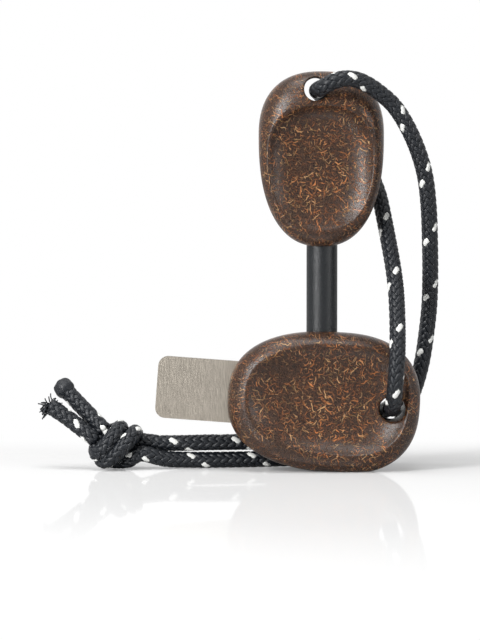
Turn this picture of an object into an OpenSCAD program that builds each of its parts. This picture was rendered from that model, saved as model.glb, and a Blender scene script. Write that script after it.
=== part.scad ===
// Ferro rod fire starter: a rod and a steel striker in pebble-shaped handles, tied by one braided cord.
// X runs along the striker handle, Y away from the thumb dishes, Z up. Millimetres.
// The origin is the middle of the flat that the striker handle stands on, in the handles' parting plane.

/* [Both handles] */
// Parting plane to the crest of the dished front
handle_front = 6.5; // [6:0.1:8]
// Parting plane to the crest of the plain back
handle_back = 8.5; // [8:0.1:11]
// Fullness of the front's section, higher is flatter with a tighter edge
front_fullness = 3.2; // [2.4:0.1:5]
// Fullness of the back's section
back_fullness = 4; // [3.4:0.1:6]
// Squareness of both edges
edge_squareness = 2.35; // [2.1:0.05:3]
// Parting plane to the floor of the thumb dish
dish_floor = 1.7; // [1.5:0.1:3]
// Steepness of the dish's wall
dish_steepness = 4; // [2:0.5:8]

/* [Rod handle] */
// Half the width
rod_handle_half = 13.1; // [12:0.1:16]
// Widest level up to the blunt end
rod_handle_head = 13.4; // [13:0.1:18]
// Widest level down to the narrow end
rod_handle_tail = 23.2; // [20:0.1:30]
// Squareness of the outline, 2 is an ellipse
rod_handle_squareness = 2.39; // [2:0.01:3]
// Rod's axis to the handle's middle
rod_handle_shift = -0.25; // [-1:0.05:1]
// Diameter of the cord hole
rod_handle_hole_d = 4.95; // [4.8:0.05:5.6]
// Blunt end to the middle of the cord hole
rod_handle_hole_inset = 3.8; // [3.5:0.1:4.2]
// Middle of the handle to the middle of the cord hole
rod_handle_hole_side = -1.2; // [-1.6:0.1:-0.8]
// Blunt end to the dish
rod_dish_head_rim = 7; // [6.6:0.1:8]
// Narrow end to the dish
rod_dish_tail_rim = 3.1; // [2.5:0.1:6]
// Side to the dish
rod_dish_side_rim = 2; // [1.5:0.1:4]
// Widest level of the handle down to the widest level of the dish
rod_dish_drop = 4.2; // [2:0.1:6]

/* [Striker handle] */
// Half the height
striker_handle_half = 14.8; // [13.5:0.1:18]
// Widest place to the blunt end
striker_handle_head = 16.9; // [15:0.1:22]
// Widest place to the narrow end
striker_handle_tail = 23.5; // [22.5:0.1:30]
// Squareness of the outline, 2 is an ellipse
striker_handle_squareness = 2.44; // [2:0.01:3]
// Lean of the long axis, blunt end down, in degrees
striker_lean = 4.2; // [0:0.1:8]
// Diameter of the cord hole
striker_handle_hole_d = 5.4; // [5.2:0.05:6]
// Blunt end to the middle of the cord hole
striker_handle_hole_inset = 5.8; // [5.4:0.1:6.2]
// Long axis up to the middle of the cord hole
striker_handle_hole_side = -0.4; // [-0.8:0.1:0]
// Blunt end to the dish
striker_dish_head_rim = 2.5; // [2:0.1:3]
// Narrow end to the dish
striker_dish_tail_rim = 3.9; // [3:0.1:6]
// Side to the dish
striker_dish_side_rim = 3.4; // [2.5:0.1:5]
// Long axis up to the middle of the dish
striker_dish_rise = 0.7; // [0:0.1:1.5]
// Widest place of the handle to the widest place of the dish, towards the blunt end
striker_dish_shift = 1.5; // [0:0.1:4]
// Depth of the flat that the handle stands on
base_flat_depth = 0.45; // [0.3:0.05:0.8]

/* [Rod] */
// Diameter
rod_d = 6.5; // [5:0.1:6.8]
// Whole length
rod_length = 50; // [46:0.5:70]
// Length held in its handle
rod_held = 16.2; // [12:0.1:20]
// Length stored in the striker handle's socket
rod_stored = 16; // [10:0.5:18]
// Parting plane back to the rod's axis
rod_setback = 2.8; // [2.6:0.1:3]
// Widest place of the striker handle to the socket's axis, towards the narrow end
socket_offset = 3.65; // [2:0.05:5]
// Radial clearance of the socket
socket_clearance = 0.05; // [0.02:0.01:0.1]
// Gap between the stored end and the socket's floor
socket_end_gap = 0.25; // [0.1:0.05:0.5]
// Bevel of the rod's ends
rod_bevel = 0.4; // [0.2:0.1:0.8]

/* [Striker blade] */
// Width
blade_w = 13; // [10:0.5:15]
// Thickness
blade_t = 1.5; // [1:0.1:2]
// Length that stands out of the handle
blade_out = 15; // [10:0.5:25]
// Length held in the handle
blade_held = 13; // [9:0.5:14]
// Radius of the free end's corners
blade_corner_r = 2.1; // [0.5:0.1:4]
// Parting plane back to the middle of the blade
blade_setback = 0.6; // [0.3:0.1:1]
// Handle's long axis up to the middle of the blade
blade_rise = 0.6; // [-1:0.1:1]

/* [Glue films] */
// Film round the rod
rod_glue = 0.15; // [0.1:0.05:0.3]
// Film at the rod's held end
rod_glue_end = 0.3; // [0.1:0.1:0.6]
// Narrow end of the handle to the film round the rod
rod_glue_inset = 4.6; // [4.2:0.1:6]
// Film round the blade's tang
blade_glue = 0.1; // [0.1:0.05:0.2]
// Narrow end of the handle to the film round the tang
blade_glue_inset = 3; // [2.5:0.5:4]

/* [Lanyard] */
// Diameter of the braided cord
cord_d = 3.5; // [2.5:0.1:3.5]
// Width of the knot
knot_w = 12; // [10:0.5:14]
// Height of the knot
knot_h = 10.4; // [9:0.1:12]
// Depth of the knot
knot_depth = 10; // [8:0.5:12]
// Diameter of the melted end of the long tail
sealed_end_d = 4.4; // [4:0.1:5]

/* [Hidden] */

composite = [0.27, 0.19, 0.14];
rod_black = [0.15, 0.16, 0.17];
steel = [0.66, 0.62, 0.57];
glue = [0.75, 0.68, 0.5];
cord_black = [0.08, 0.09, 0.11];

turns = 48;         // places round a handle's outline
cord_sides = 8;
first_side = [0.1, 0.2, 1];     // any direction that no route starts along
through = 60;       // longer than any cut has to be
over = 1;           // how far a cut runs past a face
round_fn = 64;
cord_fn = 24;

// The striker handle's outline touches the ground at its lowest point, less the flat
outline_steps = 1440;
striker_outline = [for (i = [0:outline_steps - 1]) lean(egg_point(i * 360 / outline_steps,
    striker_handle_head, striker_handle_tail, striker_handle_half, striker_handle_squareness))];
lowest = min([for (p = striker_outline) p.y]);
lowest_x = [for (p = striker_outline) if (p.y == lowest) p.x][0];
striker_x = -lowest_x;
striker_z = -lowest - base_flat_depth;

// The rod stands in the socket and carries its own handle
rod_x = striker_x - socket_offset * cos(striker_lean);
top_edge = [for (i = [outline_steps / 2 - 1:-1:1]) striker_outline[i]];
mouth_z = striker_z + lookup(rod_x - striker_x, [for (p = top_edge) [p.x, p.y]]);
rod_z = mouth_z - rod_stored;
socket_floor_z = rod_z - socket_end_gap;
rod_handle_x = rod_x + rod_handle_shift;
rod_handle_tip_z = rod_z + rod_length - rod_held;
rod_handle_z = rod_handle_tip_z + rod_handle_tail;
bore_top_z = rod_z + rod_length + rod_glue_end;

// Rings of each handle's skin, as shares of the way out
back_rings = [0.35, 0.6, 0.76, 0.86, 0.93, 0.975];
dish_rings = [0.4, 0.65, 0.8, 0.9, 0.96, 1];
rim_rings = [0.35, 0.6, 0.8, 0.93];

// The cord's route from the rod handle's hole over its front and down its outer side to the knot
outer_route = [
    [-6.5, 1, 79.9], [-6.5, -5.2, 79.9], [-6.3, -7.6, 80], [-5.4, -9.4, 80.5], [-3.9, -10.2, 81.3],
    [-1.5, -10, 82], [1.2, -9.2, 81.8], [3.6, -8.3, 80.8], [6, -7.2, 79.2], [8.8, -6, 76.8],
    [11.3, -5, 73.3], [13.9, -3.8, 68], [15.7, -2.4, 62.3], [16.6, -0.6, 56.1], [17.1, 2.2, 48.5],
    [17.4, 5.6, 40.8], [17.4, 8.6, 34.3], [16.9, 10.8, 28.2], [16.2, 12.2, 22.8], [15.2, 13.2, 18.4],
    [13.9, 13.8, 14.5], [12.3, 14, 10.4], [10, 13.8, 6.8], [7, 13.2, 3.9], [3.2, 12.4, 2.3],
    [-1.5, 11.6, 1.8], [-7.1, 10.6, 1.8], [-12.7, 9.4, 1.8], [-18.2, 8, 1.8], [-23.7, 7, 1.8],
    [-29.3, 6.2, 1.8], [-34.3, 5.4, 1.9], [-38.6, 4.2, 2.2], [-44, 3, 3.4]];
// The cord's route from the same hole down its inner side, through the striker handle's hole, to the knot
inner_route = [
    [-6.5, 1, 79.9], [-6.5, 8.6, 79.9], [-6.2, 10.8, 79.7], [-5.1, 12.6, 78.6], [-3.2, 13, 76.2],
    [-1, 12.6, 73.3], [1.4, 11.8, 69.5], [3.6, 10.8, 65.5], [5.4, 9.4, 61.3], [6.7, 8, 57.6],
    [7.7, 5.6, 52.6], [8.5, 3.2, 48], [9.2, 0.6, 43.5], [9.7, -2, 39], [9.9, -4.6, 34.1],
    [9.9, -7, 29.2], [9.8, -8.4, 25.5], [9.6, -8.9, 22.2], [9.4, -8.5, 19.1], [9.2, -7.1, 16.3],
    [9.1, -4.5, 14.2], [9.1, -1.2, 13.3], [9.1, 2.5, 13.1], [9.1, 5.8, 12.9], [9, 8.8, 12.7],
    [8.4, 11, 12.1], [6.8, 12.4, 11.2], [4.4, 12.8, 10.1], [1.1, 12.3, 8.7], [-3.7, 11.4, 7.3],
    [-8.8, 10.4, 6.3], [-14.4, 9.3, 5.7], [-19.9, 8, 5.5], [-25, 6.9, 5.5], [-30.1, 6.2, 5.5],
    [-35.2, 5.8, 5.4], [-39.2, 5.8, 5.4], [-44.2, 5.6, 5.9]];
sealed_tail_route = [[-51.5, 3.9, 8.4], [-54, 5.2, 10.8], [-57, 6.7, 13.7], [-59.9, 8, 16.6]];
frayed_tail_route = [[-53.5, 3, 6.6], [-56.4, 3.3, 8.8], [-59.6, 3.8, 11.2], [-62.8, 4.5, 13.2]];
loop_end_outer = 17;    // the loop's last point, beside the striker handle's top
loop_end_inner = 15;
knot_at = [-48.5, 3.9, 5.2];
knot_sides = 16;
knot_levels = [for (a = [-75:25:75]) a];

outer_rings = tube_rings(outer_route, cord_d / 2);
inner_rings = tube_rings(inner_route, cord_d / 2);

// Point of a rounded egg outline at angle a, with its blunt end towards +X
function egg_point(a, head, tail, half, squareness) = [
    (cos(a) >= 0 ? head : -tail) * pow(abs(cos(a)), 2 / squareness),
    sign(sin(a)) * half * pow(abs(sin(a)), 2 / squareness)];

// How far out a point lies, from 0 in the middle to 1 on the outline
function egg_reach(p, head, tail, half, squareness) = pow(
    pow(abs(p.x) / (p.x >= 0 ? head : tail), squareness) + pow(abs(p.y) / half, squareness), 1 / squareness);

function lean(p) = [p.x * cos(striker_lean) + p.y * sin(striker_lean),
    p.y * cos(striker_lean) - p.x * sin(striker_lean)];
function front_y(reach) = -handle_front * section(reach, front_fullness);
function back_y(reach) = handle_back * section(reach, back_fullness);
function section(reach, fullness) = pow(max(0, 1 - pow(min(1, reach), fullness)), 1 / edge_squareness);
function mix(a, b, share) = a + (b - a) * share;

// Skin of a pebble lying along +X, its parting plane at y = 0, with the thumb dish in its front
module pebble(head, tail, half, squareness, head_rim, tail_rim, side_rim, dish_shift, dish_rise) {
    angles = [for (i = [0:turns - 1]) (i + 0.5) * 360 / turns];
    outline = [for (a = angles) egg_point(a, head, tail, half, squareness)];
    dish_head = head - head_rim - dish_shift;
    dish_tail = tail - tail_rim + dish_shift;
    dish_half = half - side_rim;
    dish_middle = [dish_shift, dish_rise];
    dish = [for (a = angles) dish_middle + egg_point(a, dish_head, dish_tail, dish_half, squareness)];
    dish_edge = [for (p = dish) front_y(egg_reach(p, head, tail, half, squareness))];
    dish_skin = [for (k = dish_rings) [for (i = [0:turns - 1]) let (p = mix(dish_middle, dish[i], k))
        [p.x, mix(-dish_floor, dish_edge[i], pow(k, dish_steepness)), p.y]]];
    rim_skin = [for (w = rim_rings) [for (i = [0:turns - 1]) let (p = mix(dish[i], outline[i], w))
        [p.x, front_y(egg_reach(p, head, tail, half, squareness)), p.y]]];
    edge_skin = [[for (p = outline) [p.x, 0, p.y]]];
    back_skin = [for (k = [len(back_rings) - 1:-1:0]) [for (p = outline)
        [p.x * back_rings[k], back_y(back_rings[k]), p.y * back_rings[k]]]];
    skin(concat(dish_skin, rim_skin, edge_skin, back_skin),
        [dish_shift, -dish_floor, dish_rise], [0, handle_back, 0]);
}

// Closed solid through rings of points, with a point in the middle of each end
module skin(rings, first_middle, last_middle) {
    count = len(rings[0]);
    last = len(rings) - 1;
    points = concat([for (ring = rings) for (p = ring) p], [first_middle, last_middle]);
    first_cap = len(points) - 2;
    last_cap = len(points) - 1;
    faces = concat(
        [for (i = [0:count - 1]) [first_cap, (i + 1) % count, i]],
        [for (r = [0:last - 1]) for (i = [0:count - 1]) let (j = (i + 1) % count)
            [r * count + i, (r + 1) * count + j, (r + 1) * count + i]],
        [for (r = [0:last - 1]) for (i = [0:count - 1]) let (j = (i + 1) % count)
            [r * count + i, r * count + j, (r + 1) * count + j]],
        [for (i = [0:count - 1]) [last_cap, last * count + i, last * count + (i + 1) % count]]);
    polyhedron(points, faces);
}

// Round section at each point of a route, square to it and without twist
function directions(route) = [for (i = [0:len(route) - 1])
    let (d = route[min(i + 1, len(route) - 1)] - route[max(i - 1, 0)]) d / norm(d)];
function sides_along(dirs, i, before) = i == len(dirs) ? []
    : let (s = before - (before * dirs[i]) * dirs[i], unit = s / norm(s))
        concat([unit], sides_along(dirs, i + 1, unit));
function tube_rings(route, radius) = let (dirs = directions(route), sides = sides_along(dirs, 0, first_side))
    [for (i = [0:len(route) - 1]) [for (k = [0:cord_sides - 1]) let (a = k * 360 / cord_sides)
        route[i] + radius * (cos(a) * sides[i] + sin(a) * cross(dirs[i], sides[i]))]];

module tube(route, rings, from, to) {
    skin([for (i = [to:-1:from]) rings[i]], route[to], route[from]);
}

// Places what lies along +X from a handle's widest place into the standing part
module in_rod_handle() {
    translate([rod_handle_x, 0, rod_handle_z]) rotate([0, -90, 0]) children();
}
module in_striker_handle() {
    translate([striker_x, 0, striker_z]) rotate([0, striker_lean, 0]) children();
}

module rod_handle() {
    color(composite) difference() {
        in_rod_handle() pebble(rod_handle_head, rod_handle_tail, rod_handle_half, rod_handle_squareness,
            rod_dish_head_rim, rod_dish_tail_rim, rod_dish_side_rim, -rod_dish_drop, 0);
        translate([rod_x, rod_setback, rod_handle_tip_z - over])
            cylinder(d = rod_d + 2 * rod_glue, h = bore_top_z - rod_handle_tip_z + over, $fn = round_fn);
        translate([rod_handle_x + rod_handle_hole_side, -through / 2,
            rod_handle_z + rod_handle_head - rod_handle_hole_inset])
            rotate([-90, 0, 0]) cylinder(d = rod_handle_hole_d, h = through, $fn = round_fn);
    }
}

module ferro_rod() {
    r = rod_d / 2;
    color(rod_black) translate([rod_x, rod_setback, rod_z]) rotate_extrude($fn = round_fn)
        polygon([[0, 0], [r - rod_bevel, 0], [r, rod_bevel], [r, rod_length - rod_bevel],
            [r - rod_bevel, rod_length], [0, rod_length]]);
}

module rod_adhesive() {
    low = rod_handle_tip_z + rod_glue_inset;
    color(glue) difference() {
        translate([rod_x, rod_setback, low])
            cylinder(d = rod_d + 2 * rod_glue, h = bore_top_z - low, $fn = round_fn);
        ferro_rod();
    }
}

module striker_handle() {
    color(composite) difference() {
        in_striker_handle() pebble(striker_handle_head, striker_handle_tail, striker_handle_half,
            striker_handle_squareness, striker_dish_head_rim, striker_dish_tail_rim,
            striker_dish_side_rim, striker_dish_shift, striker_dish_rise);
        translate([-through / 2, -through / 2, -through]) cube(through);
        translate([rod_x, rod_setback, socket_floor_z])
            cylinder(d = rod_d + 2 * socket_clearance, h = through, $fn = round_fn);
        in_striker_handle() translate([striker_handle_head - striker_handle_hole_inset, -through / 2,
            striker_handle_hole_side])
            rotate([-90, 0, 0]) cylinder(d = striker_handle_hole_d, h = through, $fn = round_fn);
        blade_slot(striker_handle_tail + over);
    }
}

// Room for the tang and its film of glue, from the tang's end out to a distance from the widest place
module blade_slot(reach) {
    tang_end = striker_handle_tail - blade_held;
    in_striker_handle() translate([-reach, blade_setback - blade_t / 2 - blade_glue,
        blade_rise - blade_w / 2 - blade_glue])
        cube([reach - tang_end + blade_glue, blade_t + 2 * blade_glue, blade_w + 2 * blade_glue]);
}

module striker_blade() {
    length = blade_out + blade_held;
    color(steel) in_striker_handle()
        translate([-striker_handle_tail - blade_out, blade_setback + blade_t / 2, blade_rise - blade_w / 2])
        rotate([90, 0, 0]) linear_extrude(blade_t) {
            translate([blade_corner_r, 0]) square([length - blade_corner_r, blade_w]);
            translate([0, blade_corner_r]) square([length, blade_w - 2 * blade_corner_r]);
            for (y = [blade_corner_r, blade_w - blade_corner_r])
                translate([blade_corner_r, y]) circle(blade_corner_r, $fn = round_fn);
        }
}

module blade_adhesive() {
    color(glue) difference() {
        blade_slot(striker_handle_tail - blade_glue_inset);
        striker_blade();
    }
}

module lanyard_outer_loop() {
    color(cord_black) tube(outer_route, outer_rings, 0, loop_end_outer);
}

module lanyard_inner_loop() {
    color(cord_black) tube(inner_route, inner_rings, 0, loop_end_inner);
}

module lanyard_outer_return() {
    color(cord_black) tube(outer_route, outer_rings, loop_end_outer, len(outer_route) - 1);
}

module lanyard_inner_return() {
    color(cord_black) tube(inner_route, inner_rings, loop_end_inner, len(inner_route) - 1);
}

// Outer shape of the overhand knot: a rounded lump that rests on the ground
module lanyard_knot() {
    rings = [for (a = knot_levels) [for (i = [0:knot_sides - 1]) let (b = i * 360 / knot_sides)
        knot_at + [knot_w / 2 * cos(a) * cos(b), knot_depth / 2 * cos(a) * sin(b), knot_h / 2 * sin(a)]]];
    color(cord_black) skin([for (i = [len(rings) - 1:-1:0]) rings[i]],
        knot_at + [0, 0, knot_h / 2], knot_at - [0, 0, knot_h / 2]);
}

module lanyard_sealed_tail() {
    last = len(sealed_tail_route) - 1;
    color(cord_black) union() {
        tube(sealed_tail_route, tube_rings(sealed_tail_route, cord_d / 2), 0, last);
        translate(sealed_tail_route[last]) sphere(d = sealed_end_d, $fn = cord_fn);
    }
}

module lanyard_frayed_tail() {
    last = len(frayed_tail_route) - 1;
    color(cord_black) tube(frayed_tail_route, tube_rings(frayed_tail_route, cord_d / 2), 0, last);
}

rod_handle();
ferro_rod();
rod_adhesive();
striker_handle();
striker_blade();
blade_adhesive();
lanyard_outer_loop();
lanyard_inner_loop();
lanyard_outer_return();
lanyard_inner_return();
lanyard_knot();
lanyard_sealed_tail();
lanyard_frayed_tail();
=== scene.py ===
# Looks of the ferro rod fire starter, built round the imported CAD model. Lengths here are in
# millimetres until a mesh is made, in the frame of the CAD model: Z up, Y away from the camera.
import math

import bmesh
import bpy
import numpy as np
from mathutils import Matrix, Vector


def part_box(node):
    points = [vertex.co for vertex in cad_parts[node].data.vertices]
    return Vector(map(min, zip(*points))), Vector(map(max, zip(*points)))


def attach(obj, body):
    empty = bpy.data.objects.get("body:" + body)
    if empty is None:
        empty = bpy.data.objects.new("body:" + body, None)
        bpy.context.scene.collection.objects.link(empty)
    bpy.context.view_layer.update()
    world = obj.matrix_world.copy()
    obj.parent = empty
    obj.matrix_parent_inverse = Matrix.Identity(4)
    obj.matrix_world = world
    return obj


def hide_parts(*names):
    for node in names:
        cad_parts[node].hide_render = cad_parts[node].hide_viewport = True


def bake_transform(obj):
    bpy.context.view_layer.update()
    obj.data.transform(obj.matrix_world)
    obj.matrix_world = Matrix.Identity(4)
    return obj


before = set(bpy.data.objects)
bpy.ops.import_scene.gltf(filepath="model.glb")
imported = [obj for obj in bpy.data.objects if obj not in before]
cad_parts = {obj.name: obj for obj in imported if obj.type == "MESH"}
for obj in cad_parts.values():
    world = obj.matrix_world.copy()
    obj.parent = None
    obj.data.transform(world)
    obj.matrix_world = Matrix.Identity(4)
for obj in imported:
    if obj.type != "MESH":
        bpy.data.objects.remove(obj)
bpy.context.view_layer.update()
scene = bpy.context.scene
scene.view_settings.view_transform = "Standard"
MM = 0.001

# Camera: the photograph's low, straight view from 650 mm away
CAMERA_DISTANCE = 650
CAMERA_HEIGHT = 65
VIEW_X = -22.8              # middle of the picture, at the handles' parting plane
VIEW_Z = 31.8
SCALE_PX_PER_MM = 4.77      # of the photograph, at the parting plane
PICTURE_HEIGHT_PX = 640
SENSOR_MM = 36


def make_camera():
    data = bpy.data.cameras.new("camera")
    camera = bpy.data.objects.new("camera", data)
    scene.collection.objects.link(camera)
    place = Vector((VIEW_X, -CAMERA_DISTANCE, CAMERA_HEIGHT))
    target = Vector((VIEW_X, 0, VIEW_Z))
    distance = (target - place).length
    camera.location = place * MM
    camera.rotation_euler = (target - place).to_track_quat("-Z", "Y").to_euler()
    data.sensor_width = SENSOR_MM
    data.lens = SCALE_PX_PER_MM * distance * SENSOR_MM / PICTURE_HEIGHT_PX
    data.clip_start = 0.01
    data.clip_end = 20
    scene.camera = camera


make_camera()


# Mesh helpers
def make_piece(name, points, faces, smooth=True):
    mesh = bpy.data.meshes.new(name)
    mesh.from_pydata((np.asarray(points) * MM).tolist(), [], [list(map(int, f)) for f in faces])
    mesh.update()
    if smooth:
        mesh.shade_smooth()
    piece = bpy.data.objects.new(name, mesh)
    scene.collection.objects.link(piece)
    return piece


def add_values(piece, name, values):
    values = np.asarray(values, np.float32)
    kind = "FLOAT" if values.ndim == 1 else "FLOAT_VECTOR"
    attribute = piece.data.attributes.new(name, kind, "POINT")
    attribute.data.foreach_set("value" if values.ndim == 1 else "vector", values.ravel())


# The cord. Its routes are those of part.scad, point for point
OUTER_ROUTE = [
    (-6.5, 1, 79.9), (-6.5, -5.2, 79.9), (-6.3, -7.6, 80), (-5.4, -9.4, 80.5), (-3.9, -10.2, 81.3),
    (-1.5, -10, 82), (1.2, -9.2, 81.8), (3.6, -8.3, 80.8), (6, -7.2, 79.2), (8.8, -6, 76.8),
    (11.3, -5, 73.3), (13.9, -3.8, 68), (15.7, -2.4, 62.3), (16.6, -0.6, 56.1), (17.1, 2.2, 48.5),
    (17.4, 5.6, 40.8), (17.4, 8.6, 34.3), (16.9, 10.8, 28.2), (16.2, 12.2, 22.8), (15.2, 13.2, 18.4),
    (13.9, 13.8, 14.5), (12.3, 14, 10.4), (10, 13.8, 6.8), (7, 13.2, 3.9), (3.2, 12.4, 2.3),
    (-1.5, 11.6, 1.8), (-7.1, 10.6, 1.8), (-12.7, 9.4, 1.8), (-18.2, 8, 1.8), (-23.7, 7, 1.8),
    (-29.3, 6.2, 1.8), (-34.3, 5.4, 1.9), (-38.6, 4.2, 2.2), (-44, 3, 3.4)]
INNER_ROUTE = [
    (-6.5, 1, 79.9), (-6.5, 8.6, 79.9), (-6.2, 10.8, 79.7), (-5.1, 12.6, 78.6), (-3.2, 13, 76.2),
    (-1, 12.6, 73.3), (1.4, 11.8, 69.5), (3.6, 10.8, 65.5), (5.4, 9.4, 61.3), (6.7, 8, 57.6),
    (7.7, 5.6, 52.6), (8.5, 3.2, 48), (9.2, 0.6, 43.5), (9.7, -2, 39), (9.9, -4.6, 34.1),
    (9.9, -7, 29.2), (9.8, -8.4, 25.5), (9.6, -8.9, 22.2), (9.4, -8.5, 19.1), (9.2, -7.1, 16.3),
    (9.1, -4.5, 14.2), (9.1, -1.2, 13.3), (9.1, 2.5, 13.1), (9.1, 5.8, 12.9), (9, 8.8, 12.7),
    (8.4, 11, 12.1), (6.8, 12.4, 11.2), (4.4, 12.8, 10.1), (1.1, 12.3, 8.7), (-3.7, 11.4, 7.3),
    (-8.8, 10.4, 6.3), (-14.4, 9.3, 5.7), (-19.9, 8, 5.5), (-25, 6.9, 5.5), (-30.1, 6.2, 5.5),
    (-35.2, 5.8, 5.4), (-39.2, 5.8, 5.4), (-44.2, 5.6, 5.9)]
# The overhand knot, from its middle: each strand enters at the right, turns back at the left,
# wraps the front up to the right, goes over the top and leaves behind to the upper left
KNOT_MIDDLE = (-48.5, 3.9, 5.2)
OUTER_KNOT = [
    (2.2, -0.4, -3.1), (-0.6, 0.7, -3.4), (-2.7, 0.7, -3.1), (-3.4, -0.9, -3.1), (-2.4, -2.5, -3.1),
    (-0.8, -3.5, -1.9), (0.9, -3.8, -0.2), (2.5, -3, 1.5), (3.5, -0.9, 2.6), (3.2, 1.4, 2.2),
    (1.9, 3.1, 0.8), (-0.4, 3.5, -0.2), (-3, 2.4, 0.4)]
INNER_KNOT = [
    (1.6, 1.5, 0.7), (-0.9, 1, 1), (-3, 0.4, 0.9), (-4.4, -0.3, -0.2), (-4.5, -1.5, -1.6),
    (-3.6, -2.9, -1.2), (-2.2, -3.7, 0.5), (-0.8, -3, 2.3), (0.2, -1.1, 3.4), (0.4, 1, 3.5),
    (-0.5, 2.6, 2.9), (-2.2, 1.7, 2.6)]
FRAYED_TAIL = [(-53.5, 3, 6.6), (-56.4, 3.3, 8.8), (-59.6, 3.8, 11.2), (-62.8, 4.5, 13.2)]
SEALED_TAIL = [(-51.5, 3.9, 8.4), (-54, 5.2, 10.8), (-57, 6.7, 13.7), (-59.9, 8, 16.6)]

# The braid: sixteen yarns, two over and two under, one of them a white tracer
YARNS_EACH_WAY = 8
LEAD = 13                   # length of cord in which a yarn goes once round
STEPS_PER_LEAD = 40
YARN_SIDES = 6
YARN_HALF_WIDTH = 0.6
YARN_HALF_THICKNESS = 0.32
YARN_OUT = 1.43             # cord's middle to a yarn's middle, over and under
YARN_IN = 1.0
CORE_RADIUS = 0.95
CORE_SIDES = 8
BEAD_RADIUS = 2.15
FRAY_COUNT = 46
FRAY_STEPS = 12
FRAY_RADIUS = 0.13
OUTER_TRACER_TURN = 0.0     # where on the cord's round the tracer starts, in turns
INNER_TRACER_TURN = 0.0


def smooth_line(points, step):
    """Points a fixed step apart on a centripetal Catmull-Rom curve through the given ones."""
    p = np.array(points, float)
    p = np.vstack([2 * p[0] - p[1], p, 2 * p[-1] - p[-2]])
    out = []
    for a, b, c, d in zip(p[:-3], p[1:-2], p[2:-1], p[3:]):
        ta = 0
        tb = ta + np.linalg.norm(b - a) ** 0.5
        tc = tb + np.linalg.norm(c - b) ** 0.5
        td = tc + np.linalg.norm(d - c) ** 0.5
        t = np.linspace(tb, tc, 24, endpoint=False)[:, None]
        ab = (tb - t) / (tb - ta) * a + (t - ta) / (tb - ta) * b
        bc = (tc - t) / (tc - tb) * b + (t - tb) / (tc - tb) * c
        cd = (td - t) / (td - tc) * c + (t - tc) / (td - tc) * d
        abc = (tc - t) / (tc - ta) * ab + (t - ta) / (tc - ta) * bc
        bcd = (td - t) / (td - tb) * bc + (t - tb) / (td - tb) * cd
        out.append((tc - t) / (tc - tb) * abc + (t - tb) / (tc - tb) * bcd)
    line = np.vstack([*out, p[-2:-1]])
    along = np.concatenate([[0], np.cumsum(np.linalg.norm(np.diff(line, axis=0), axis=1))])
    places = np.linspace(0, along[-1], max(2, round(along[-1] / step)) + 1)
    return np.column_stack([np.interp(places, along, line[:, i]) for i in range(3)])


def unit(v):
    return v / np.linalg.norm(v, axis=-1, keepdims=True)


def frames_along(line):
    """Directions of the line, and two sides square to it that don't twist."""
    direction = unit(np.gradient(line, axis=0))
    side = np.empty_like(line)
    last = np.array([0.1, 0.2, 1.0])
    for i, d in enumerate(direction):
        last = last - (last @ d) * d
        last = last / np.linalg.norm(last)
        side[i] = last
    return direction, side, np.cross(direction, side)


class Strand:
    """One cord with its braid, of which pieces can be cut as meshes."""

    def __init__(self, route, tracer_turn):
        self.line = smooth_line(route, LEAD / STEPS_PER_LEAD)
        self.direction, self.side, self.up = frames_along(self.line)
        self.tracer_turn = tracer_turn
        self.spread = np.ones(len(self.line))

    def nearest(self, point):
        return int(np.argmin(np.linalg.norm(self.line - np.array(point), axis=1)))

    def yarn(self, way, number):
        """Middle line of a yarn and the outward direction at each of its points."""
        crossing = np.arange(len(self.line)) * 2 * YARNS_EACH_WAY / STEPS_PER_LEAD
        turn = self.tracer_turn + way * (crossing / (2 * YARNS_EACH_WAY)) + number / YARNS_EACH_WAY
        beat = crossing + 2 * number if way > 0 else 2 * number - crossing
        over = way * np.clip(1.6 * np.cos(math.pi / 2 * (beat - 0.5)), -1, 1)
        radius = ((YARN_OUT + YARN_IN) / 2 + (YARN_OUT - YARN_IN) / 2 * over) * self.spread
        angle = 2 * math.pi * turn
        outward = np.cos(angle)[:, None] * self.side + np.sin(angle)[:, None] * self.up
        return self.line + radius[:, None] * outward, outward

    def meshes(self, start, end):
        """Points, faces, yarn coordinates and tracer marks of the braid between two places."""
        parts = []
        for way in (1, -1):
            for number in range(YARNS_EACH_WAY):
                middle, outward = self.yarn(way, number)
                along = unit(np.gradient(middle, axis=0))
                across = unit(np.cross(along, outward))
                height = np.cross(across, along)
                parts.append(tube(middle[start:end], across[start:end], height[start:end], YARN_SIDES,
                                  YARN_HALF_WIDTH, YARN_HALF_THICKNESS, way > 0 and number == 0, start))
        core = slice(start, end)
        parts.append(tube(self.line[core], self.side[core], self.up[core], CORE_SIDES,
                          CORE_RADIUS, CORE_RADIUS, False, start))
        return joined(parts)


def tube(middle, across, height, sides, half_width, half_thickness, tracer, first):
    """A closed tube of oval section, with coordinates along and across its yarn."""
    angle = np.arange(sides) * 2 * math.pi / sides
    ring = (middle[:, None] + across[:, None] * (half_width * np.cos(angle))[None, :, None]
            + height[:, None] * (half_thickness * np.sin(angle))[None, :, None])
    points = ring.reshape(-1, 3)
    count = len(middle)
    i = np.arange(count - 1)[:, None] * sides
    k = np.arange(sides)[None, :]
    k_next = (k + 1) % sides
    quads = np.stack([i + k, i + k_next, i + sides + k_next, i + sides + k], axis=-1).reshape(-1, 4)
    last = (count - 1) * sides
    caps = [list(range(sides))[::-1], [last + s for s in range(sides)]]
    along = np.repeat(first + np.arange(count), sides) * LEAD / STEPS_PER_LEAD
    yarn = np.column_stack([along, np.tile(half_width * np.cos(angle), count),
                            np.tile(half_thickness * np.sin(angle), count)])
    return points, quads.tolist() + caps, yarn, np.full(len(points), float(tracer))


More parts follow.
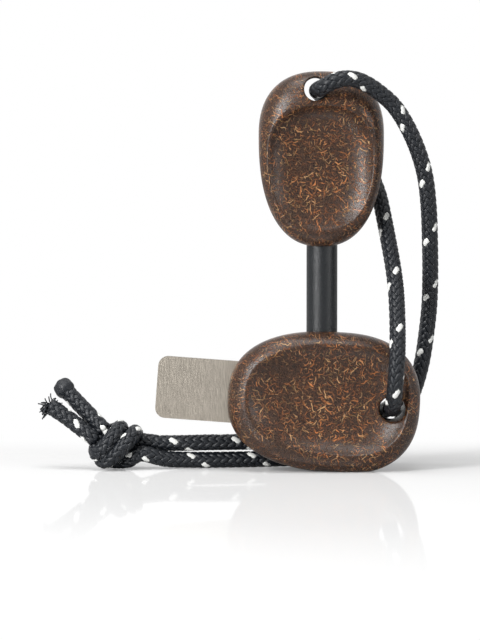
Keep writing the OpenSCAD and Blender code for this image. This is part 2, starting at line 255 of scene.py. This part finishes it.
def joined(parts):
    points = []
    faces = []
    yarns = []
    marks = []
    base = 0
    for number, (p, f, yarn, mark) in enumerate(parts):
        points.append(p)
        faces.extend([[base + v for v in face] for face in f])
        yarns.append(yarn + [0, 7.3 * number, 0])
        marks.append(mark)
        base += len(p)
    return np.vstack(points), faces, np.vstack(yarns), np.concatenate(marks)


def sealed_bead(centre, direction):
    """The melted end of the cord: a lumpy drop round all the yarns."""
    ball = bmesh.new()
    bmesh.ops.create_icosphere(ball, subdivisions=4, radius=1)
    points = np.array([v.co for v in ball.verts])
    faces = [[v.index for v in face.verts] for face in ball.faces]
    ball.free()
    lumps = np.sin(3.1 * points[:, 0] + 1.3) * np.sin(4.3 * points[:, 1] + 0.4)
    lumps = lumps + 0.6 * np.sin(7 * points[:, 2] + 2 * points[:, 0]) * np.sin(6 * points[:, 1])
    points = points * (BEAD_RADIUS * (1 + 0.07 * lumps))[:, None] + centre + 0.3 * direction
    return points, faces, points * 1.0, np.zeros(len(points))


def frayed_ends(centre, direction):
    """Single filaments that curl out of the cut end and droop."""
    draw = np.random.RandomState(11)
    parts = []
    for _ in range(FRAY_COUNT):
        heading = direction + draw.uniform(-0.55, 0.55, 3)
        place = centre + draw.uniform(-1, 1, 3) * 0.9 - 0.6 * direction
        curl = draw.uniform(-0.5, 0.5, 3)
        line = []
        for step in range(FRAY_STEPS):
            line.append(place)
            heading = heading + curl * 0.35 + np.array([0, 0, -0.14])
            place = place + heading / np.linalg.norm(heading) * draw.uniform(0.2, 0.3)
        line = np.array(line)
        _, side, up = frames_along(line)
        parts.append(tube(line, side, up, 4, FRAY_RADIUS, FRAY_RADIUS, False, 0))
    return joined(parts)


def cord_piece(name, parts):
    points, faces, yarn, tracer = joined(parts)
    piece = make_piece(name, points, faces)
    add_values(piece, "yarn", yarn)
    add_values(piece, "tracer", tracer)
    return piece


def from_knot(points):
    return [tuple(np.add(p, KNOT_MIDDLE)) for p in points]


outer = Strand(OUTER_ROUTE + from_knot(OUTER_KNOT) + FRAYED_TAIL, OUTER_TRACER_TURN)
inner = Strand(INNER_ROUTE + from_knot(INNER_KNOT) + SEALED_TAIL, INNER_TRACER_TURN)
outer_knot_start = outer.nearest(OUTER_ROUTE[-1])
inner_knot_start = inner.nearest(INNER_ROUTE[-1])
outer_tail_start = outer.nearest(FRAYED_TAIL[0])
inner_tail_start = inner.nearest(SEALED_TAIL[0])

outer_cord = cord_piece("braided_cord_outer", [outer.meshes(0, outer_knot_start + 1)])
inner_cord = cord_piece("braided_cord_inner", [inner.meshes(0, inner_knot_start + 1)])
knot = cord_piece("overhand_knot", [outer.meshes(outer_knot_start, outer_tail_start + 1),
                                    inner.meshes(inner_knot_start, inner_tail_start + 1)])
frayed_tail = cord_piece("frayed_tail", [outer.meshes(outer_tail_start, len(outer.line)),
                                          frayed_ends(outer.line[-1], outer.direction[-1])])
sealed_tail = cord_piece("sealed_tail", [inner.meshes(inner_tail_start, len(inner.line)),
                                          sealed_bead(inner.line[-1], inner.direction[-1])])
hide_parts("lanyard_outer_loop", "lanyard_outer_return")
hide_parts("lanyard_inner_loop", "lanyard_inner_return")
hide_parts("lanyard_knot")
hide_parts("lanyard_frayed_tail")
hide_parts("lanyard_sealed_tail")


# A handle's skin is worked out as a field of distances and then meshed
SKIN_STEP = 0.25


def surface_net(field, low, high, step):
    """Closed quad mesh of the surface where the field is zero."""
    axes = [np.arange(a, b + step, step) for a, b in zip(low, high)]
    grid = np.stack(np.meshgrid(*axes, indexing="ij"), axis=-1)
    value = field(grid.reshape(-1, 3)).reshape(grid.shape[:3])
    total = np.zeros([n - 1 for n in value.shape] + [3])
    count = np.zeros(total.shape[:3])
    edges = []
    for axis in range(3):
        near = [slice(None)] * 3
        far = [slice(None)] * 3
        near[axis] = slice(None, -1)
        far[axis] = slice(1, None)
        a, b = value[tuple(near)], value[tuple(far)]
        place = np.argwhere((a < 0) != (b < 0))
        a, b = a[tuple(place.T)], b[tuple(place.T)]
        point = place.astype(float)
        point[:, axis] += a / (a - b)
        one, two = [i for i in range(3) if i != axis]
        cells = []
        for back_one, back_two in ((1, 1), (0, 1), (0, 0), (1, 0)):
            cell = place.copy()
            cell[:, one] -= back_one
            cell[:, two] -= back_two
            cells.append(cell)
            np.add.at(total, tuple(cell.T), point)
            np.add.at(count, tuple(cell.T), 1)
        edges.append((axis, a < 0, cells))
    used = count > 0
    number = np.full(count.shape, -1)
    number[used] = np.arange(used.sum())
    points = total[used] / count[used][:, None] * step + np.array(low)
    faces = []
    for axis, outward, cells in edges:
        quad = np.stack([number[tuple(c.T)] for c in cells], axis=-1)
        flip = outward if axis == 1 else ~outward
        quad[flip] = quad[flip][:, ::-1]
        faces.append(quad)
    return points, np.vstack(faces)


def slope(field, p, reach=0.01):
    out = np.empty_like(p)
    for axis in range(3):
        shift = np.zeros(3)
        shift[axis] = reach
        out[:, axis] = (field(p + shift) - field(p - shift)) / (2 * reach)
    return out


def as_distance(field, p):
    """Rough distance to a field's zero surface."""
    return field(p) / np.maximum(np.linalg.norm(slope(field, p), axis=1), 1e-6)


def soft_max(a, b, radius):
    """The larger of two distances, with the edge where they meet rounded."""
    gap = np.maximum(radius - np.abs(a - b), 0)
    return np.maximum(a, b) + gap * gap / (4 * radius)


def settle(points, field, rounds=3):
    """Moves points onto the surface where the field is zero."""
    for _ in range(rounds):
        g = slope(field, points)
        step = field(points)[:, None] * g / np.maximum((g * g).sum(axis=1), 1e-6)[:, None]
        points = points - np.clip(step, -0.2, 0.2)
    return points


# Sizes of the handles, as in part.scad
FRONT = 6.5
BACK = 8.5
FRONT_FULLNESS = 3.2
BACK_FULLNESS = 4
EDGE_SQUARENESS = 2.35
DISH_FLOOR = 1.7
DISH_STEEPNESS = 4
ROD_D = 6.5
ROD_SETBACK = 2.8
ROD_GLUE = 0.15
SOCKET_CLEARANCE = 0.05
BLADE_W = 13
BLADE_T = 1.5
BLADE_SETBACK = 0.6
BLADE_RISE = 0.6
SLOT_CLEARANCE = 0.1
LEAN = math.radians(4.2)

rod_low, rod_high = [np.array(v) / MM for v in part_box("ferro_rod")]
rod_x = (rod_low[0] + rod_high[0]) / 2
rod_handle_low, rod_handle_high = [np.array(v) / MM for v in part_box("rod_handle")]
striker_low, striker_high = [np.array(v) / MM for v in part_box("striker_handle")]


class Pebble:
    """A moulded handle, along a long axis that ends at its blunt end."""

    def __init__(self, head, tail, half, squareness, head_rim, tail_rim, side_rim, shift, rise,
                 hole_d, hole_inset, hole_side, middle, long_axis):
        self.outline = (head, tail, half, squareness)
        self.dish = (head - head_rim - shift, tail - tail_rim + shift, half - side_rim, squareness)
        self.dish_middle = (shift, rise)
        self.hole = (head - hole_inset, hole_side, hole_d / 2)
        self.middle = middle
        self.long_axis = long_axis

    def local(self, p):
        """Places along the long axis, across it and in depth."""
        along = self.long_axis
        across = (-along[1], along[0])
        x = p[:, 0] - self.middle[0]
        z = p[:, 2] - self.middle[1]
        return x * along[0] + z * along[1], x * across[0] + z * across[1], p[:, 1]

    @staticmethod
    def reach(u, v, egg):
        head, tail, half, squareness = egg
        length = np.where(u >= 0, head, tail)
        return ((np.abs(u) / length) ** squareness + (np.abs(v) / half) ** squareness) ** (1 / squareness)

    def skin(self, p):
        u, v, y = self.local(p)
        level = self.reach(u, v, self.outline)
        depth = np.where(y < 0, FRONT, BACK)
        fullness = np.where(y < 0, FRONT_FULLNESS, BACK_FULLNESS)
        return (np.abs(y) / depth) ** EDGE_SQUARENESS + level ** fullness - 1

    def dish_share(self, p):
        """0 in the middle of the thumb dish, 1 at its edge."""
        u, v, _ = self.local(p)
        return self.reach(u - self.dish_middle[0], v - self.dish_middle[1], self.dish)

    def hollow(self, p):
        """Positive in front of the thumb dish's surface."""
        u, v, y = self.local(p)
        du, dv = u - self.dish_middle[0], v - self.dish_middle[1]
        share = np.maximum(self.reach(du, dv, self.dish), 1e-3)
        edge_u = self.dish_middle[0] + du / share
        edge_v = self.dish_middle[1] + dv / share
        edge_level = np.minimum(self.reach(edge_u, edge_v, self.outline), 1)
        edge = -FRONT * np.maximum(1 - edge_level ** FRONT_FULLNESS, 0) ** (1 / EDGE_SQUARENESS)
        surface = -DISH_FLOOR + (edge + DISH_FLOOR) * share ** DISH_STEEPNESS
        return surface - y

    def field(self, p):
        u, v, _ = self.local(p)
        body = np.clip(as_distance(self.skin, p), -3, 3)
        hollow = np.clip(as_distance(self.hollow, p), -3, 3)
        body = soft_max(body, hollow, CREST_RADIUS)
        hole = self.hole[2] - np.hypot(u - self.hole[0], v - self.hole[1])
        return soft_max(body, hole, HOLE_EDGE_RADIUS)


CREST_RADIUS = 0.55
HOLE_EDGE_RADIUS = 0.5
BORE_EDGE_RADIUS = 0.4
FLAT_EDGE_RADIUS = 0.3
SKIN_MARGIN = 0.6

rod_pebble = Pebble(13.4, 23.2, 13.1, 2.39, 7, 3.1, 2, -4.2, 0, 4.95, 3.8, 1.2,
                    (rod_x - 0.25, rod_handle_high[2] - 13.4), (0, 1))
striker_pebble = Pebble(16.9, 23.5, 14.8, 2.44, 2.5, 3.9, 3.4, 1.5, 0.7, 5.4, 5.8, -0.4,
                        (rod_x + 3.65 * math.cos(LEAN), None), (math.cos(LEAN), -math.sin(LEAN)))


def striker_middle_z():
    """Height of the striker handle's widest place: its top is the top of its box."""
    angle = np.radians(np.arange(0, 180, 0.25))
    head, tail, half, squareness = striker_pebble.outline
    u = np.where(np.cos(angle) >= 0, head, -tail) * np.abs(np.cos(angle)) ** (2 / squareness)
    v = half * np.abs(np.sin(angle)) ** (2 / squareness)
    return striker_high[2] - (v * math.cos(LEAN) - u * math.sin(LEAN)).max()


striker_pebble.middle = (striker_pebble.middle[0], striker_middle_z())


def rod_handle_field(p):
    radius = ROD_D / 2 + ROD_GLUE
    bore = radius - np.hypot(p[:, 0] - rod_x, p[:, 1] - ROD_SETBACK)
    bore = np.minimum(bore, rod_high[2] - p[:, 2])
    return soft_max(rod_pebble.field(p), bore, BORE_EDGE_RADIUS)


def striker_handle_field(p):
    radius = ROD_D / 2 + SOCKET_CLEARANCE
    socket = radius - np.hypot(p[:, 0] - rod_x, p[:, 1] - ROD_SETBACK)
    socket = np.minimum(socket, p[:, 2] - rod_low[2])
    body = soft_max(striker_pebble.field(p), socket, BORE_EDGE_RADIUS)
    u, v, y = striker_pebble.local(p)
    tail = striker_pebble.outline[1]
    slot = np.minimum(BLADE_T / 2 + SLOT_CLEARANCE - np.abs(y - BLADE_SETBACK),
                      BLADE_W / 2 + SLOT_CLEARANCE - np.abs(v - BLADE_RISE))
    slot = np.minimum(slot, -(tail - 3) - u)
    body = soft_max(body, slot, 0.1)
    return soft_max(body, -p[:, 2], FLAT_EDGE_RADIUS)


def make_handle(name, node, field, pebble, low, high):
    points, faces = surface_net(field, low - SKIN_MARGIN, high + SKIN_MARGIN, SKIN_STEP)
    points = settle(points, field)
    piece = make_piece(name, points, faces)
    add_values(piece, "dish", np.clip(1.25 - pebble.dish_share(points), 0, 1))
    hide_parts(node)
    return piece


rod_handle = make_handle("moulded_rod_handle", "rod_handle", rod_handle_field, rod_pebble,
                         rod_handle_low, rod_handle_high)
striker_handle = make_handle("moulded_striker_handle", "striker_handle", striker_handle_field,
                             striker_pebble, striker_low, striker_high)


# Materials
class Nodes:
    """Short ways to add shader nodes to a material."""

    def __init__(self, name):
        self.material = bpy.data.materials.new(name)
        self.material.use_nodes = True
        self.tree = self.material.node_tree
        self.tree.nodes.clear()
        self.output = self.tree.nodes.new("ShaderNodeOutputMaterial")
        self.shader = self.tree.nodes.new("ShaderNodeBsdfPrincipled")
        self.tree.links.new(self.shader.outputs[0], self.output.inputs[0])

    def put(self, socket, value):
        if isinstance(value, bpy.types.NodeSocket):
            self.tree.links.new(value, socket)
        elif value is not None:
            socket.default_value = value

    def node(self, kind, inputs=None, **settings):
        made = self.tree.nodes.new("ShaderNode" + kind)
        for key, value in settings.items():
            setattr(made, key, value)
        for key, value in (inputs or {}).items():
            self.put(made.inputs[key], value)
        return made

    def math(self, operation, a, b=None, c=None, clamp=False):
        return self.node("Math", {0: a, 1: b, 2: c}, operation=operation, use_clamp=clamp).outputs[0]

    def vector(self, operation, a, b=None):
        made = self.node("VectorMath", {0: a, 1: b}, operation=operation)
        return made.outputs["Value"] if operation in ("LENGTH", "DOT_PRODUCT") else made.outputs[0]

    def scaled(self, a, by):
        return self.node("VectorMath", {0: a, "Scale": by}, operation="SCALE").outputs[0]

    def mix(self, share, a, b):
        made = self.node("Mix", data_type="RGBA")
        self.put(made.inputs[0], share)
        self.put(made.inputs[6], a)
        self.put(made.inputs[7], b)
        return made.outputs[2]

    def ramp(self, share, *stops):
        made = self.node("ValToRGB", {0: share})
        ramp = made.color_ramp
        while len(ramp.elements) < len(stops):
            ramp.elements.new(0.5)
        for element, (place, colour) in zip(ramp.elements, stops):
            element.position = place
            element.color = colour if len(colour) == 4 else (*colour, 1)
        return made.outputs[0]

    def between(self, value, low, high):
        """0 below low, 1 above high and smooth in between."""
        made = self.node("MapRange", {0: value, 1: low, 2: high, 3: 0.0, 4: 1.0},
                         interpolation_type="SMOOTHSTEP")
        return made.outputs[0]

    def noise(self, place, scale, detail=2.0, roughness=0.5, distortion=0.0):
        return self.node("TexNoise", {"Vector": place, "Scale": scale, "Detail": detail,
                                      "Roughness": roughness, "Distortion": distortion}).outputs[0]

    def place(self):
        """Place on the piece in millimetres."""
        return self.scaled(self.node("TexCoord").outputs["Object"], 1 / MM)

    def attribute(self, name, output="Fac"):
        return self.node("Attribute", attribute_name=name).outputs[output]

    def bump(self, height, distance_mm, strength=1.0):
        return self.node("Bump", {"Height": height, "Distance": distance_mm * MM,
                                  "Strength": strength}).outputs[0]


def rgb(r, g, b):
    """A colour as it is seen on a screen, 0 to 255, in the shader's linear values."""
    def linear(c):
        c /= 255
        return c / 12.92 if c <= 0.04045 else ((c + 0.055) / 1.055) ** 2.4
    return (linear(r), linear(g), linear(b), 1)


# Layers of fibres in the composite: cell size, half width, half length, share of cells filled
FIBRE_LAYERS = [
    (0.7, 0.075, 0.42, 0.75), (1.0, 0.065, 0.44, 0.8), (1.4, 0.055, 0.45, 0.8), (2.0, 0.045, 0.46, 0.7),
    (2.7, 0.035, 0.46, 0.5)]


def flat_place(n, place):
    """Two coordinates on the face that the surface looks along most, so that nothing stretches."""
    normal = n.node("TexCoord").outputs["Normal"]
    size = n.node("SeparateXYZ", {0: n.vector("ABSOLUTE", normal)}).outputs
    at = n.node("SeparateXYZ", {0: place}).outputs
    front = n.node("CombineXYZ", {0: at[0], 1: at[2]}).outputs[0]
    side = n.node("CombineXYZ", {0: n.math("ADD", at[1], 57.0), 1: at[2]}).outputs[0]
    top = n.node("CombineXYZ", {0: at[0], 1: n.math("ADD", at[1], 91.0)}).outputs[0]
    back = n.math("LESS_THAN", n.node("SeparateXYZ", {0: normal}).outputs[1], 0.0)
    front = n.vector("ADD", front, n.scaled((31.0, 17.0, 0.0), back))
    is_side = n.math("GREATER_THAN", size[0], size[2])
    is_front = n.math("GREATER_THAN", size[1], n.math("MAXIMUM", size[0], size[2]))
    edge = n.node("Mix", data_type="VECTOR")
    n.put(edge.inputs[0], is_side)
    n.put(edge.inputs[4], top)
    n.put(edge.inputs[5], side)
    chosen = n.node("Mix", data_type="VECTOR")
    n.put(chosen.inputs[0], is_front)
    n.put(chosen.inputs[4], edge.outputs[1])
    n.put(chosen.inputs[5], front)
    return chosen.outputs[1]


def fibre_layer(n, flat, number, cell, half_width, half_length, filled):
    """One curled fibre in each cell of a scatter. Returns where it shows and a random number for it."""
    shifted = n.vector("ADD", flat, (13.7 * number, 5.1 * number, 0.0))
    cells = n.node("TexVoronoi", {"Vector": shifted, "Scale": 1 / cell, "Randomness": 1.0},
                   voronoi_dimensions="2D")
    chance = n.node("SeparateXYZ", {0: cells.outputs["Color"]}).outputs
    from_middle = n.scaled(n.vector("SUBTRACT", shifted, n.scaled(cells.outputs["Position"], 1.0)), 1 / cell)
    turned = n.node("VectorRotate", {"Vector": from_middle, "Angle": n.math("MULTIPLY", chance[0], 6.283)},
                    rotation_type="Z_AXIS").outputs[0]
    at = n.node("SeparateXYZ", {0: turned}).outputs
    bend = n.math("MULTIPLY_ADD", chance[1], 1.1, 0.25)
    centre_x = n.math("SUBTRACT", at[0], bend)
    round_distance = n.math("SQRT", n.math("ADD", n.math("MULTIPLY", centre_x, centre_x),
                                           n.math("MULTIPLY", at[1], at[1])))
    off_line = n.math("ABSOLUTE", n.math("SUBTRACT", round_distance, bend))
    end = n.math("DIVIDE", at[1], half_length)
    taper = n.math("SUBTRACT", 1.0, n.math("MULTIPLY", end, end), clamp=True)
    left = n.math("LESS_THAN", at[0], bend)
    width = n.math("MULTIPLY", n.math("MULTIPLY", n.math("SQRT", taper), half_width), left)
    shows = n.between(n.math("SUBTRACT", width, off_line), -0.012, 0.02)
    shows = n.math("MULTIPLY", shows, n.math("LESS_THAN", chance[2], filled))
    return shows, chance


def composite(name):
    """Dark moulded composite full of short curled wood fibres."""
    n = Nodes(name)
    place = n.place()
    wander = n.node("TexNoise", {"Vector": place, "Scale": 0.9, "Detail": 1.0}).outputs["Color"]
    wander = n.scaled(n.vector("SUBTRACT", wander, (0.5, 0.5, 0.5)), 0.9)
    flat = n.vector("ADD", flat_place(n, place), wander)
    cloud = n.math("MULTIPLY_ADD", n.attribute("dish"), 0.16, n.noise(place, 0.25, 3.0))
    grain = n.noise(place, 4.5, 4.0, 0.65)
    colour = n.mix(n.between(grain, 0.35, 0.7), rgb(15, 10, 7), rgb(72, 48, 34))
    height = n.math("MULTIPLY", grain, 0.25)
    for number, (cell, half_width, half_length, filled) in enumerate(FIBRE_LAYERS):
        shows, chance = fibre_layer(n, flat, number, cell, half_width, half_length, filled)
        tint = n.ramp(chance[1], (0.0, rgb(104, 62, 38)[:3]), (0.35, rgb(150, 90, 50)[:3]),
                      (0.6, rgb(200, 126, 72)[:3]), (0.8, rgb(212, 168, 118)[:3]),
                      (1.0, rgb(128, 96, 54)[:3]))
        strength = n.math("MULTIPLY", shows, n.math("MULTIPLY_ADD", chance[0], 0.6, 0.4))
        strength = n.math("MULTIPLY", strength, n.between(cloud, 0.3, 0.75))
        colour = n.mix(strength, colour, tint)
        raised = n.math("MULTIPLY", shows, n.math("MULTIPLY_ADD", chance[0], 0.5, 0.5))
        height = n.math("MAXIMUM", height, raised)
    n.put(n.shader.inputs["Base Color"], colour)
    n.put(n.shader.inputs["Roughness"], n.math("MULTIPLY_ADD", grain, 0.3, 0.14))
    n.put(n.shader.inputs["Normal"], n.bump(height, 0.16))
    n.shader.inputs["Specular IOR Level"].default_value = 0.32
    return n.material


def braided_polyester(name):
    """Glossy black yarns with one white tracer."""
    n = Nodes(name)
    yarn = n.attribute("yarn", "Vector")
    filaments = n.noise(n.vector("MULTIPLY", yarn, (0.6, 9.0, 9.0)), 1.0, 3.0, 0.6)
    tracer = n.attribute("tracer")
    black = n.mix(filaments, rgb(8, 10, 13), rgb(26, 30, 36))
    white = n.mix(filaments, rgb(170, 172, 170), rgb(238, 238, 234))
    n.put(n.shader.inputs["Base Color"], n.mix(tracer, black, white))
    n.shader.inputs["Roughness"].default_value = 0.36
    n.shader.inputs["Specular IOR Level"].default_value = 0.3
    n.put(n.shader.inputs["Normal"], n.bump(filaments, 0.05))
    return n.material


def coated_rod(name):
    """Satin black coating with a fine cast grain."""
    n = Nodes(name)
    place = n.place()
    grain = n.noise(n.vector("MULTIPLY", place, (1.0, 1.0, 0.45)), 6.0, 4.0, 0.7)
    n.put(n.shader.inputs["Base Color"], n.mix(grain, rgb(8, 10, 12), rgb(28, 31, 34)))
    n.put(n.shader.inputs["Roughness"], n.math("MULTIPLY_ADD", grain, 0.2, 0.15))
    n.shader.inputs["Specular IOR Level"].default_value = 0.35
    n.put(n.shader.inputs["Normal"], n.bump(grain, 0.05))
    return n.material


def brushed_blade(name):
    """Warm grey steel, brushed across the blade."""
    n = Nodes(name)
    place = n.node("VectorRotate", {"Vector": n.place(), "Angle": LEAN}, rotation_type="Y_AXIS").outputs[0]
    brushed = n.noise(n.vector("MULTIPLY", place, (9.0, 1.0, 0.35)), 1.0, 4.0, 0.7)
    n.put(n.shader.inputs["Base Color"], n.mix(brushed, rgb(70, 66, 60), rgb(186, 178, 166)))
    n.shader.inputs["Metallic"].default_value = 1.0
    n.put(n.shader.inputs["Roughness"], n.math("MULTIPLY_ADD", brushed, 0.25, 0.3))
    n.put(n.shader.inputs["Normal"], n.bump(brushed, 0.04))
    return n.material


def amber_glue(name):
    n = Nodes(name)
    place = n.place()
    n.put(n.shader.inputs["Base Color"], n.mix(n.noise(place, 1.5), rgb(150, 118, 66), rgb(196, 168, 112)))
    n.shader.inputs["Roughness"].default_value = 0.25
    return n.material


def wear(piece, material):
    piece.data.materials.clear()
    piece.data.materials.append(material)


composite_material = composite("fibre_composite")
for handle in (rod_handle, striker_handle):
    wear(handle, composite_material)
cord_material = braided_polyester("braided_polyester")
for piece in (outer_cord, inner_cord, knot, frayed_tail, sealed_tail):
    wear(piece, cord_material)
wear(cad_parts["ferro_rod"], coated_rod("coated_ferrocerium"))
wear(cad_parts["striker_blade"], brushed_blade("brushed_blade"))
glue_material = amber_glue("amber_glue")
for node in ("rod_adhesive", "blade_adhesive"):
    wear(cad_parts[node], glue_material)

# What moves with what
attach(rod_handle, "rod_tool")
for piece in (striker_handle, knot, frayed_tail, sealed_tail):
    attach(piece, "striker_tool")
for piece in (outer_cord, inner_cord):
    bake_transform(piece)


# The studio
def light(name, place, target, width, height, power):
    data = bpy.data.lights.new(name, "AREA")
    data.shape = "RECTANGLE"
    data.size = width * MM
    data.size_y = height * MM
    data.energy = power
    lamp = bpy.data.objects.new(name, data)
    lamp.location = Vector(place) * MM
    lamp.rotation_euler = (Vector(target) - Vector(place)).to_track_quat("-Z", "Y").to_euler()
    scene.collection.objects.link(lamp)


def make_world():
    world = bpy.data.worlds.new("studio")
    scene.world = world
    world.use_nodes = True
    nodes, links = world.node_tree.nodes, world.node_tree.links
    nodes.clear()
    out = nodes.new("ShaderNodeOutputWorld")
    background = nodes.new("ShaderNodeBackground")
    path = nodes.new("ShaderNodeLightPath")
    seen = nodes.new("ShaderNodeMath")
    seen.operation = "MAXIMUM"
    links.new(path.outputs["Is Camera Ray"], seen.inputs[0])
    either = nodes.new("ShaderNodeMath")
    either.operation = "MAXIMUM"
    links.new(path.outputs["Is Glossy Ray"], either.inputs[0])
    links.new(path.outputs["Is Transmission Ray"], either.inputs[1])
    links.new(either.outputs[0], seen.inputs[1])
    level = nodes.new("ShaderNodeMapRange")
    level.inputs[3].default_value = 0.25
    level.inputs[4].default_value = 1.0
    links.new(seen.outputs[0], level.inputs[0])
    links.new(level.outputs[0], background.inputs[1])
    background.inputs[0].default_value = (1, 1, 1, 1)
    links.new(background.outputs[0], out.inputs[0])


def make_floor():
    size = 3000
    points = [(-size, -size, 0), (size, -size, 0), (size, size, 0), (-size, size, 0)]
    floor = make_piece("floor", points, [(0, 1, 2, 3)], smooth=False)
    n = Nodes("white_floor")
    n.tree.nodes.remove(n.shader)
    matte = n.node("BsdfDiffuse", {"Color": (0.62, 0.62, 0.62, 1)}).outputs[0]
    seen = n.node("LightPath").outputs["Is Camera Ray"]
    lift = n.node("Emission", {"Color": (1, 1, 1, 1), "Strength": n.math("MULTIPLY", seen, 0.13)}).outputs[0]
    white = n.node("AddShader", {0: matte, 1: lift}).outputs[0]
    mirror = n.node("BsdfGlossy", {"Color": (1, 1, 1, 1), "Roughness": 0.05}).outputs[0]
    place = n.node("TexCoord").outputs["Object"]        # in metres
    behind = n.math("MULTIPLY", n.node("SeparateXYZ", {0: place}).outputs[1], 3.4)
    away = n.math("MAXIMUM", n.vector("LENGTH", place), behind)
    share = n.math("MULTIPLY", n.math("SUBTRACT", 1.0, n.between(away, 0.06, 0.25)), 0.2)
    near = n.node("MixShader", {0: share, 1: white, 2: mirror}).outputs[0]
    plain = n.node("Emission", {"Color": (1, 1, 1, 1), "Strength": 1.0}).outputs[0]
    far = n.math("MULTIPLY", seen, n.between(away, 0.09, 0.26))
    n.tree.links.new(n.node("MixShader", {0: far, 1: near, 2: plain}).outputs[0], n.output.inputs[0])
    wear(floor, n.material)


MIDDLE = (-15, 0, 35)
make_world()
make_floor()
light("key_left", (-400, -430, 250), MIDDLE, 90, 480, 5.3)
light("overhead", (-80, -120, 600), MIDDLE, 420, 300, 2.4)
light("fill_right", (470, -330, 140), MIDDLE, 60, 380, 0.9)
